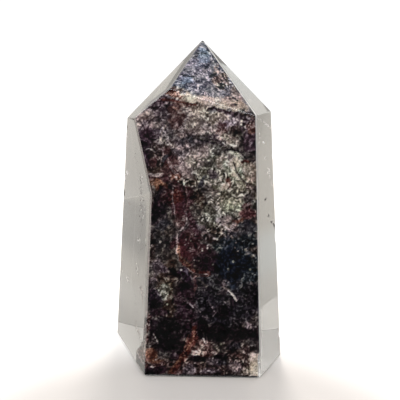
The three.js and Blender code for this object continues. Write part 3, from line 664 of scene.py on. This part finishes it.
def chip_tools():
    """Rippled ellipsoids, one for each chip, that the crystal is cut with."""
    vertices, faces = [], []
    for seed, (one, other, height, length, width, bite) in enumerate(CHIPS):
        (first, reach), (second, far) = side_face(one), side_face(other)
        level = np.array([0, 0, 1])
        along = np.cross(first, second)
        along /= np.linalg.norm(along)
        outward = (first + second) / np.linalg.norm(first + second)
        corner = np.linalg.solve(np.array([first, second, level]), [reach, far, height])
        ball = bmesh.new()
        bmesh.ops.create_icosphere(ball, subdivisions=3, radius=1)
        unit = np.array([v.co for v in ball.verts])
        count = len(vertices)
        faces += [tuple(v.index + count for v in face.verts) for face in ball.faces]
        ball.free()
        unit *= 1 + CHIP_RIPPLE * rough(unit, 0.7, 2, 130 + seed)[:, None]
        stretched = unit * width / 2
        stretched += np.outer(unit @ along, along) * (length - width) / 2
        vertices += list(corner + outward * (width / 2 - bite) + stretched)
    return new_mesh("chip_tools", vertices, faces)


def cut_with(piece, tool):
    """Adds a modifier that cuts one object out of another."""
    cut = piece.modifiers.new(tool.name, "BOOLEAN")
    cut.operation = "DIFFERENCE"
    cut.solver = "EXACT"
    cut.object = tool


def crystal():
    """The clear crystal: ground flat, with worn edges and a few chips."""
    piece = cut_solid("clear_crystal", BOUNDING)
    wedge = cut_solid("wedge", [], CREASED)
    cut_with(piece, wedge)
    worn = piece.modifiers.new("worn_edges", "BEVEL")
    worn.width = EDGE_WEAR * MM
    worn.segments = 2
    worn.use_clamp_overlap = False
    worn.limit_method = "ANGLE"
    worn.angle_limit = math.radians(EDGE_ANGLE)
    chips = chip_tools()
    cut_with(piece, chips)
    apply_modifiers(piece)
    bpy.data.objects.remove(wedge)
    bpy.data.objects.remove(chips)
    return piece


def garden_rear(x, z):
    """y of the rear of the CAD's garden, behind each x and z."""
    mesh = frame["nodes"]["garden"].data
    tree = BVHTree.FromPolygons([v.co / MM for v in mesh.vertices],
                                [p.vertices[:] for p in mesh.polygons])
    rear = np.full(x.shape, np.nan)
    for i in np.ndindex(x.shape):
        hit = tree.ray_cast(Vector((x[i], RAYS_FROM, z[i])), Vector((0, -1, 0)))[0]
        if hit is not None:
            rear[i] = hit.y
    return rear


def linear(colour):
    """A colour in sRGB from 0 to 255 as linear light."""
    part = np.asarray(colour) / 255
    return np.where(part < 0.04045, part / 12.92, ((part + 0.055) / 1.055) ** 2.4)


def stroke_distance(x, z, points):
    """How far each place is from a line through some points."""
    nearest = np.full(x.shape, np.inf)
    for (ax, az), (bx, bz) in zip(points, points[1:]):
        along = ((x - ax) * (bx - ax) + (z - az) * (bz - az)) / ((bx - ax)**2 + (bz - az)**2)
        along = np.clip(along, 0, 1)
        nearest = np.minimum(nearest, np.hypot(x - ax - along * (bx - ax), z - az - along * (bz - az)))
    return nearest


def turned(x, z, wide, high, turn=0):
    """How far each place is from a patch's middle, as a share of the patch's half size."""
    angle = np.radians(turn)
    along = x * np.cos(angle) + z * np.sin(angle)
    across = z * np.cos(angle) - x * np.sin(angle)
    return np.hypot(along / wide, across / high)


def swirled(points, reach, size, seed):
    """The points, each pushed about by up to reach, in swirls of about the given size."""
    return points + reach * np.stack([noise(points, size, seed + i) for i in range(3)], axis=1)


def covers_at(points):
    """Each patch, vein and fleck in turn: its mineral, and how fully it covers some points."""
    wide_swirl = swirled(swirled(points, 0.9, 3.4, 51), 0.45, 1.2, 54)
    fine_swirl = swirled(points, 0.3, 1.6, 57)
    ragged = rough(points, 2.0, 4, 60)
    frayed = rough(points, 0.7, 2, 64)
    for mineral, *patches in PATCHES:
        for x, z, *shape in patches:
            away = turned(wide_swirl[:, 0] - x, wide_swirl[:, 2] - z, *shape)
            yield mineral, 1 - smooth(0.78, 1.25, away + 0.33 * ragged)
    for mineral, *veins in VEINS:
        for width, *line in veins:
            away = stroke_distance(fine_swirl[:, 0], fine_swirl[:, 2], line) / (width / 2)
            yield mineral, 1 - smooth(0.6, 1.5, away + 0.5 * frayed)
    for mineral, *flecks in FLECKS:
        for x, z, size in flecks:
            away = np.hypot(points[:, 0] - x, points[:, 2] - z) / size
            yield mineral, 1 - smooth(0.7, 1.3, away + 0.3 * frayed)


def traits(mineral):
    """A mineral's darkest and lightest colours, as logarithms of light, and its depth, in one row."""
    dark, light, depth = MINERALS[mineral]
    return np.concatenate([np.log(linear(dark)), np.log(linear(light)), [depth]])


def mixed(points):
    """The mix of minerals at some points: its darkest and lightest colours, and its depth."""
    mix = np.tile(traits(GROUND), (len(points), 1))
    for mineral, cover in covers_at(points):
        mix += (traits(mineral) - mix) * cover[:, None]
    return mix[:, :3], mix[:, 3:6], mix[:, 6]


def grain_at(points):
    """How pale the grain is at some points: about 0 where it is darkest and 1 where it is lightest."""
    fibres = swirled(points, 0.45, 1.1, 71)
    grain = sum(strength * noise(fibres, size, seed) for strength, size, seed in GRAIN_LAYERS)
    grain += WORMS * (0.5 - 2.4 * np.abs(noise(fibres, 0.75, 78)))
    threads = smooth(0.16, 0, np.abs(noise(fibres, 1.7, 101))) * smooth(0, 0.5, noise(points, 4.0, 103))
    sparks = smooth(0.5, 0.75, noise(fibres, 0.36, 105))
    return PALE_MEAN + PALE_SPREAD * grain / grain.std() + THREADS * threads + SPARKS * sparks


def paint(points):
    """The garden's albedo at some points, how deep each lies in mm, and how pale its grain is."""
    dark, light, sink = mixed(points)
    pale = grain_at(points)
    colour = np.exp(dark + (light - dark) * np.clip(pale, *PALE_LIMITS)[:, None])
    tint = np.stack([rough(points, 3.0, 3, 80), 0 * pale, rough(points, 3.0, 3, 90)], axis=1)
    seen = colour * np.exp(TINT * tint)
    tip = on_tip(points[:, 0], points[:, 2])[:, None]
    haze = np.where(tip, TIP_HAZE, HAZE)
    daylight = np.where(tip, TIP_DAYLIGHT, DAYLIGHT)
    albedo = np.maximum((seen - haze) / daylight, 0.001)
    albedo /= np.maximum(1, albedo.max(axis=1, keepdims=True) / BRIGHTEST)
    return albedo, sink, pale


def garden_edges(heights):
    """x of the garden's left and right edges on the front faces."""
    left, right = front_edges(heights)
    return left + LEFT_RIM, right - RIGHT_RIM - CORNER_CUT * (1 - smooth(*CORNER_FADE, heights))


def blurred(colours):
    """Rows of colours, each the mean of a few rows, as the rear's columns are far apart."""
    spread = np.pad(colours, ((REAR_BLUR, REAR_BLUR), (0, 0), (0, 0)), mode="edge")
    return sum(spread[i:i + ROWS] for i in range(2 * REAR_BLUR + 1)) / (2 * REAR_BLUR + 1)


def front_sheet(left, right, heights):
    """The garden's front, row by row from its left edge to its right: its points and colours."""
    across = np.linspace(0, 1, FRONT_COLUMNS)
    x = left + (right - left) * across
    z = np.repeat(heights[:, None], FRONT_COLUMNS, axis=1)
    face = np.stack([x, front_at(x, z), z], axis=-1).reshape(-1, 3)
    colour, sink, pale = paint(face)
    pits = smooth(0.1, 1.0, rough(face, 2.4, 3, 11))
    by_mineral, by_pit, by_grain = FRONT_RELIEF
    relief = (by_mineral * sink + by_pit * pits + by_grain * (1 - pale)).reshape(x.shape)
    inner = smooth(0, 0.05, np.minimum(across, 1 - across))
    sheet = np.stack([x, face[:, 1].reshape(x.shape) + SKIN + relief * inner, z], axis=-1)
    return sheet, colour.reshape(ROWS, -1, 3)


def flank_sheet(border, foot):
    """The garden's left side, row by row from its rear to the front's border: points and colours."""
    depth = np.linspace(1, 0, FLANK_COLUMNS) * (foot + EDGE_DEPTH) + 0.1
    sway = -FOOT_SWAY * np.minimum(depth, foot)
    sheet = border + np.stack([sway, depth, 0 * depth], axis=-1)
    unfolded = sheet - np.stack([depth + sway, 0 * depth, 0 * depth], axis=-1)
    colour, sink, pale = paint(unfolded.reshape(-1, 3))
    by_mineral, by_grain = FLANK_RELIEF
    hollow = (by_mineral * sink + by_grain * (1 - pale)).reshape(depth.shape)
    sheet[..., 0] += hollow * smooth(0, 1, foot) * smooth(0, 0.6, depth)
    return sheet, colour.reshape(ROWS, -1, 3)


def rear_sheet(flank, right, heights):
    """The garden's rear, row by row from the right to its left side: its points and colours."""
    across = np.linspace(1, 0, REAR_COLUMNS)
    leftmost = flank[:, :1, 0]
    x = leftmost + (right - leftmost) * across
    z = np.repeat(heights[:, None], REAR_COLUMNS, axis=1)
    low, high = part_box("garden")
    rear = garden_rear(x, np.clip(z, low.z / MM + 0.05, high.z / MM - 0.05))
    thin = front_at(x, z) + SKIN + EDGE_DEPTH + LEAST_DEPTH
    filled = flank[:, :1, 1] - REAR_SLOPE * (x - leftmost)
    rear = np.maximum(np.where(np.isnan(rear), thin, rear), np.maximum(thin, filled))
    behind = np.stack([x, rear, z], axis=-1).reshape(-1, 3)
    lumps = REAR_LUMPS * rough(behind, 3.5, 4, 23).reshape(x.shape)
    inner = smooth(0, 0.08, np.minimum(across, 1 - across))
    sheet = np.stack([x, np.maximum(rear + lumps * inner, thin), z], axis=-1)
    return sheet, blurred(paint(sheet.reshape(-1, 3))[0].reshape(ROWS, -1, 3))


def tube(rings):
    """The vertices and faces of a closed skin over a stack of rings."""
    count, around = rings.shape[:2]
    faces = [tuple(reversed(range(around)))]
    for row in range(count - 1):
        for i in range(around):
            a = row * around + i
            b = row * around + (i + 1) % around
            faces.append((a, b, b + around, a + around))
    faces.append(tuple(range((count - 1) * around, count * around)))
    return rings.reshape(-1, 3), faces


def colour_vertices(piece, colours):
    """Gives a piece's vertices the colours that the garden's stone shows."""
    layer = piece.data.color_attributes.new("mineral", "FLOAT_COLOR", "POINT")
    layer.data.foreach_set("color", np.ravel(colours))


def garden():
    """The mass of mineral inclusions behind the front faces, as one closed fine mesh."""
    heights = np.linspace(GARDEN_LOW, GARDEN_HIGH, ROWS)
    left, right = (edge[:, None] for edge in garden_edges(heights))
    foot = sum(deep * (1 - smooth(low, high, heights)) for deep, low, high in FOOT_STEPS)[:, None]
    front, front_colour = front_sheet(left, right, heights)
    edge = front[:, -1:] + np.array([0, 1, 0]) * np.array([0.1, EDGE_DEPTH])[:, None]
    flank, flank_colour = flank_sheet(front[:, :1], foot)
    rear, rear_colour = rear_sheet(flank, right, heights)
    piece = new_mesh("garden_minerals", *tube(np.concatenate([front, edge, rear, flank], axis=1)))

    # Its rims are painted highlight: the left on the flank above the foot, the right on its edge strip
    # and on the rear near its right edge.
    at_tip = smooth(*TIP_HIGHLIGHT_AT, heights)[:, None, None]
    left_highlight, right_highlight = (linear(low) + (linear(high) - linear(low)) * at_tip
                           for low, high in (LEFT_RIM_HIGHLIGHTS, RIGHT_RIM_HIGHLIGHTS))
    flank_colour = left_highlight + (flank_colour - left_highlight) * smooth(0.2, 1.4, foot)[..., None]
    beyond_highlight = smooth(*RIM_HIGHLIGHT_REACH, right - rear[..., 0])[..., None]
    rear_colour += (right_highlight - rear_colour) * (1 - beyond_highlight)
    edge_highlight = np.broadcast_to(right_highlight, edge.shape)
    colours = np.concatenate([front_colour, edge_highlight, rear_colour, flank_colour], axis=1)
    room = np.clip((1 / colours.max(axis=-1, keepdims=True) - 1) / MOTTLING, 0, 1)
    colour_vertices(piece, np.concatenate([colours, room], axis=-1))
    piece.data.shade_smooth()
    return piece


def scattered(random, x, z, wide, high, turn, number):
    """Random places (x, z) in a turned ellipse."""
    away = np.sqrt(random.uniform(0, 1, number)) * wide
    angle = random.uniform(0, 2 * np.pi, number)
    along, across = away * np.cos(angle), away * np.sin(angle) * high / wide
    bend = np.radians(turn)
    return (x + along * np.cos(bend) - across * np.sin(bend),
            z + along * np.sin(bend) + across * np.cos(bend))


def dust():
    """The drifts of dust, as one mesh of small eight-sided grains."""
    random = np.random.default_rng(7)
    tips = np.array([(1, 0, 0), (-1, 0, 0), (0, 1, 0), (0, -1, 0), (0, 0, 1), (0, 0, -1)])
    sides = [(0, 2, 4), (2, 1, 4), (1, 3, 4), (3, 0, 4), (2, 0, 5), (1, 2, 5), (3, 1, 5), (0, 3, 5)]
    drifts = [(side, *drift) for side, on_side in DUST.items() for drift in on_side]
    vertices, faces, colours = [], [], []
    for side, mineral, *spread, number, size in drifts:
        normal, reach = side_face(side)
        x, z = scattered(random, *spread, number)
        depth = random.uniform(*DUST_DEPTH, number)
        y = (reach - depth - normal[0] * x - normal[2] * z) / normal[1]
        dark, light = (linear(colour) for colour in MINERALS[mineral][:2])
        for place in np.column_stack([x, y, z]):
            shade = dark + (light - dark) * random.uniform(0.2, 1)
            stretch = random.uniform(0.5, 1.5, 3) * size
            skew = random.uniform(-0.5, 0.5, (3, 3)) + np.eye(3)
            grain = place + (tips * stretch) @ skew
            if inside(grain).all() and grain[:, 2].min() > DUST_FLOOR:
                faces += [tuple(len(vertices) + i for i in corners) for corners in sides]
                vertices += list(grain)
                colours += [(*shade, 1)] * len(tips)
    piece = new_mesh("quartz_dust", vertices, faces)
    colour_vertices(piece, colours)
    return piece


def connect(tree, node, inputs):
    """Gives a node's inputs their values, or links them to sockets."""
    for name, value in inputs.items():
        if isinstance(value, bpy.types.NodeSocket):
            tree.links.new(value, node.inputs[name])
        else:
            node.inputs[name].default_value = value


def add(tree, kind, inputs, **settings):
    """A new node with some settings and inputs."""
    node = tree.nodes.new(kind)
    for name, value in settings.items():
        setattr(node, name, value)
    connect(tree, node, inputs)
    return node


def map_range(tree, value, low, high, to_low=0.0, to_high=1.0, kind="LINEAR"):
    """A socket that maps one range of another socket onto a new one."""
    ends = {"Value": value, "From Min": low, "From Max": high, "To Min": to_low, "To Max": to_high}
    return add(tree, "ShaderNodeMapRange", ends, interpolation_type=kind).outputs[0]


def combine(tree, operation, one, other):
    """A socket that combines two, or a socket and a number."""
    return add(tree, "ShaderNodeMath", {0: one, 1: other}, operation=operation).outputs[0]


def blend_colours(tree, share, one, other):
    """A socket that goes from one colour, or socket, to another."""
    inputs = {"Factor": share, "A": one, "B": other}
    return add(tree, "ShaderNodeMix", inputs, data_type="RGBA").outputs["Result"]


def noise_texture(tree, size, detail, roughness=0.5):
    """A socket with noise whose features are about as large as size."""
    here = add(tree, "ShaderNodeTexCoord", {}).outputs["Object"]
    inputs = {"Vector": here, "Scale": 1 / (size * MM), "Detail": detail, "Roughness": roughness}
    return add(tree, "ShaderNodeTexNoise", inputs).outputs["Fac"]


def bump(tree, height, depth):
    """A socket with the normals of a surface that has bumps of some depth."""
    inputs = {"Height": height, "Strength": 0.5, "Distance": depth * MM}
    return add(tree, "ShaderNodeBump", inputs).outputs[0]


def near(tree, middle, fade):
    """A socket that runs from 0 to 1 between two distances from a place on the floor."""
    here = add(tree, "ShaderNodeNewGeometry", {}).outputs["Position"]
    there = (middle[0] * MM, middle[1] * MM, 0)
    away = add(tree, "ShaderNodeVectorMath", {0: here, 1: there}, operation="DISTANCE")
    gone, full = fade
    return map_range(tree, away.outputs["Value"], min(fade) * MM, max(fade) * MM,
                     float(gone > full), float(gone < full), "SMOOTHSTEP")


def direction(azimuth, elevation):
    """The unit vector towards an azimuth and an elevation in degrees."""
    around, up = math.radians(azimuth), math.radians(elevation)
    return math.cos(around) * math.cos(up), math.sin(around) * math.cos(up), math.sin(up)


def lobe(tree, azimuth, elevation, inner, outer):
    """A socket that is 1 near one direction of the world and 0 beyond an angle from it."""
    here = add(tree, "ShaderNodeTexCoord", {}).outputs["Generated"]
    there = direction(azimuth, elevation)
    along = add(tree, "ShaderNodeVectorMath", {0: here, 1: there}, operation="DOT_PRODUCT")
    limits = (math.cos(math.radians(angle)) for angle in (outer, inner))
    return map_range(tree, along.outputs["Value"], *limits, kind="SMOOTHSTEP")


def material(name):
    """A new material, its node tree and its shader."""
    made = bpy.data.materials.new(name)
    made.use_nodes = True
    return made, made.node_tree, made.node_tree.nodes["Principled BSDF"]


def clear_quartz():
    """Clear quartz, polished all round and ground at the base."""
    made, tree, shader = material("clear_quartz")
    here = add(tree, "ShaderNodeTexCoord", {}).outputs["Object"]
    height = add(tree, "ShaderNodeSeparateXYZ", {0: here}).outputs["Z"]
    connect(tree, shader, {
        "Base Color": WHITE,
        "IOR": QUARTZ_IOR,
        "Transmission Weight": 1.0,
        "Roughness": map_range(tree, height, BASE_EDGE * MM, 0, 0, BASE_ROUGHNESS),
        "Normal": bump(tree, noise_texture(tree, POLISH_WAVES, 1.0), POLISH_DEPTH),
    })
    absorbed = {"Color": ABSORPTION, "Density": ABSORPTION_DENSITY}
    volume = add(tree, "ShaderNodeVolumeAbsorption", absorbed).outputs[0]
    connect(tree, tree.nodes["Material Output"], {"Volume": volume})
    return made


def garden_stone(name, glow):
    """The minerals' stone. The dust's glows a little: a painted glint for the light that cracks round
    it catch.
    """
    made, tree, shader = material(name)
    painted = add(tree, "ShaderNodeAttribute", {}, attribute_name="mineral").outputs
    grain = noise_texture(tree, GRAIN_SIZE, *GRAIN_DETAIL)
    shade = map_range(tree, grain, *GRAIN_RANGE, -MOTTLING, MOTTLING)
    shade = combine(tree, "ADD", combine(tree, "MULTIPLY", shade, painted["Alpha"]), 1.0)
    scaled = {0: painted["Color"], "Scale": shade}
    mottled = add(tree, "ShaderNodeVectorMath", scaled, operation="SCALE").outputs[0]
    connect(tree, shader, {
        "Base Color": mottled,
        "Emission Color": mottled,
        "Emission Strength": glow,
        "Specular IOR Level": STONE_SPECULAR,
        "Roughness": map_range(tree, grain, 0, 1, *STONE_ROUGHNESS),
        "Normal": bump(tree, grain, GRAIN_DEPTH),
    })
    return made


def pale_floor():
    """The floor, which is one thing to the camera and another to the glass: pale with a painted glow
    and shadow to the camera, darker with painted light and shade to the glass.
    """
    made, tree, shader = material("pale_floor")
    to_camera = add(tree, "ShaderNodeLightPath", {}).outputs["Is Camera Ray"]
    glow = combine(tree, "MULTIPLY", near(tree, FLOOR_PAINTED_SHADOW_AT, FLOOR_PAINTED_SHADOW_FADE), FLOOR_PAINTED_GLOW)
    shade = FLOOR_SHADE
    for middle, fade, colour in FLOOR_PAINTED_PATCHES:
        shade = blend_colours(tree, near(tree, middle, fade), shade, colour)
    connect(tree, shader, {
        "Base Color": blend_colours(tree, to_camera, shade, FLOOR_PALE),
        "Emission Color": WHITE,
        "Emission Strength": combine(tree, "MULTIPLY", glow, to_camera),
        "Roughness": FLOOR_ROUGHNESS,
    })
    return made


def world():
    """The studio round the crystal. The camera sees plain white in its place."""
    scene = bpy.context.scene
    scene.view_settings.view_transform = "Standard"
    scene.world = bpy.data.worlds.new("studio")
    scene.world.use_nodes = True
    tree = scene.world.node_tree
    above = lobe(tree, *ABOVE)
    level = combine(tree, "ADD", combine(tree, "MULTIPLY", above, ZENITH - WALLS), WALLS)
    for place, light in LIGHTS:
        level = combine(tree, "ADD", level, combine(tree, "MULTIPLY", lobe(tree, *place), light))
    for place, depth in FLAGS:
        shade = combine(tree, "MULTIPLY", lobe(tree, *place), depth)
        level = combine(tree, "MULTIPLY", level, combine(tree, "SUBTRACT", 1.0, shade))
    tint = blend_colours(tree, lobe(tree, *BACK_WALL), WHITE, BACK_TINT)
    tint = blend_colours(tree, above, tint, ZENITH_TINT)
    lit = add(tree, "ShaderNodeBackground", {"Color": tint, "Strength": level}).outputs[0]
    plain = {"Color": WHITE, "Strength": BACKDROP}
    plain = add(tree, "ShaderNodeBackground", plain).outputs[0]
    to_camera = add(tree, "ShaderNodeLightPath", {}).outputs["Is Camera Ray"]
    mix = add(tree, "ShaderNodeMixShader", {0: to_camera, 1: lit, 2: plain}).outputs[0]
    connect(tree, tree.nodes["World Output"], {"Surface": mix})


def lamp():
    """The small lamp, which lights what it shines on but isn't seen in or through the glass."""
    data = bpy.data.lights.new("back_lamp", "AREA")
    data.shape = "DISK"
    data.size = LAMP_WIDTH * MM
    data.energy = LAMP_POWER
    light = bpy.data.objects.new("back_lamp", data)
    away = Vector(direction(*LAMP))
    light.location = away * LAMP_DISTANCE * MM
    light.rotation_euler = away.to_track_quat("Z", "Y").to_euler()
    light.visible_glossy = False
    light.visible_transmission = False
    bpy.context.scene.collection.objects.link(light)


def stage():
    """The studio, its lamp, its floor and the camera."""
    world()
    lamp()
    half = FLOOR_SIZE / 2
    ends = ((-half, -half), (half, -half), (half, half), (-half, half))
    corners = [(x, y, -FLOOR_DROP) for x, y in ends]
    floor = new_mesh("floor", corners, [(0, 1, 2, 3)])
    floor.data.materials.append(pale_floor())
    floor.visible_glossy = False
    camera = bpy.data.objects.new("camera", bpy.data.cameras.new("camera"))
    camera.data.lens = CAMERA_LENS
    camera.data.sensor_width = CAMERA_SENSOR
    camera.data.clip_start = CAMERA_NEAR * MM
    camera.location = Vector(CAMERA_AT) * MM
    camera.rotation_euler = (math.radians(90 - CAMERA_PITCH), 0, 0)
    bpy.context.scene.collection.objects.link(camera)
    bpy.context.scene.camera = camera


stage()
clear = crystal()
clear.data.materials.clear()
clear.data.materials.append(clear_quartz())
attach(clear, "root")
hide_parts("quartz")
mass = garden()
mass.data.materials.append(garden_stone("garden_minerals", 0))
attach(mass, "root")
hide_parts("garden")
specks = dust()
specks.data.materials.append(garden_stone("quartz_dust", DUST_GLINT_GLOW))
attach(specks, "root")
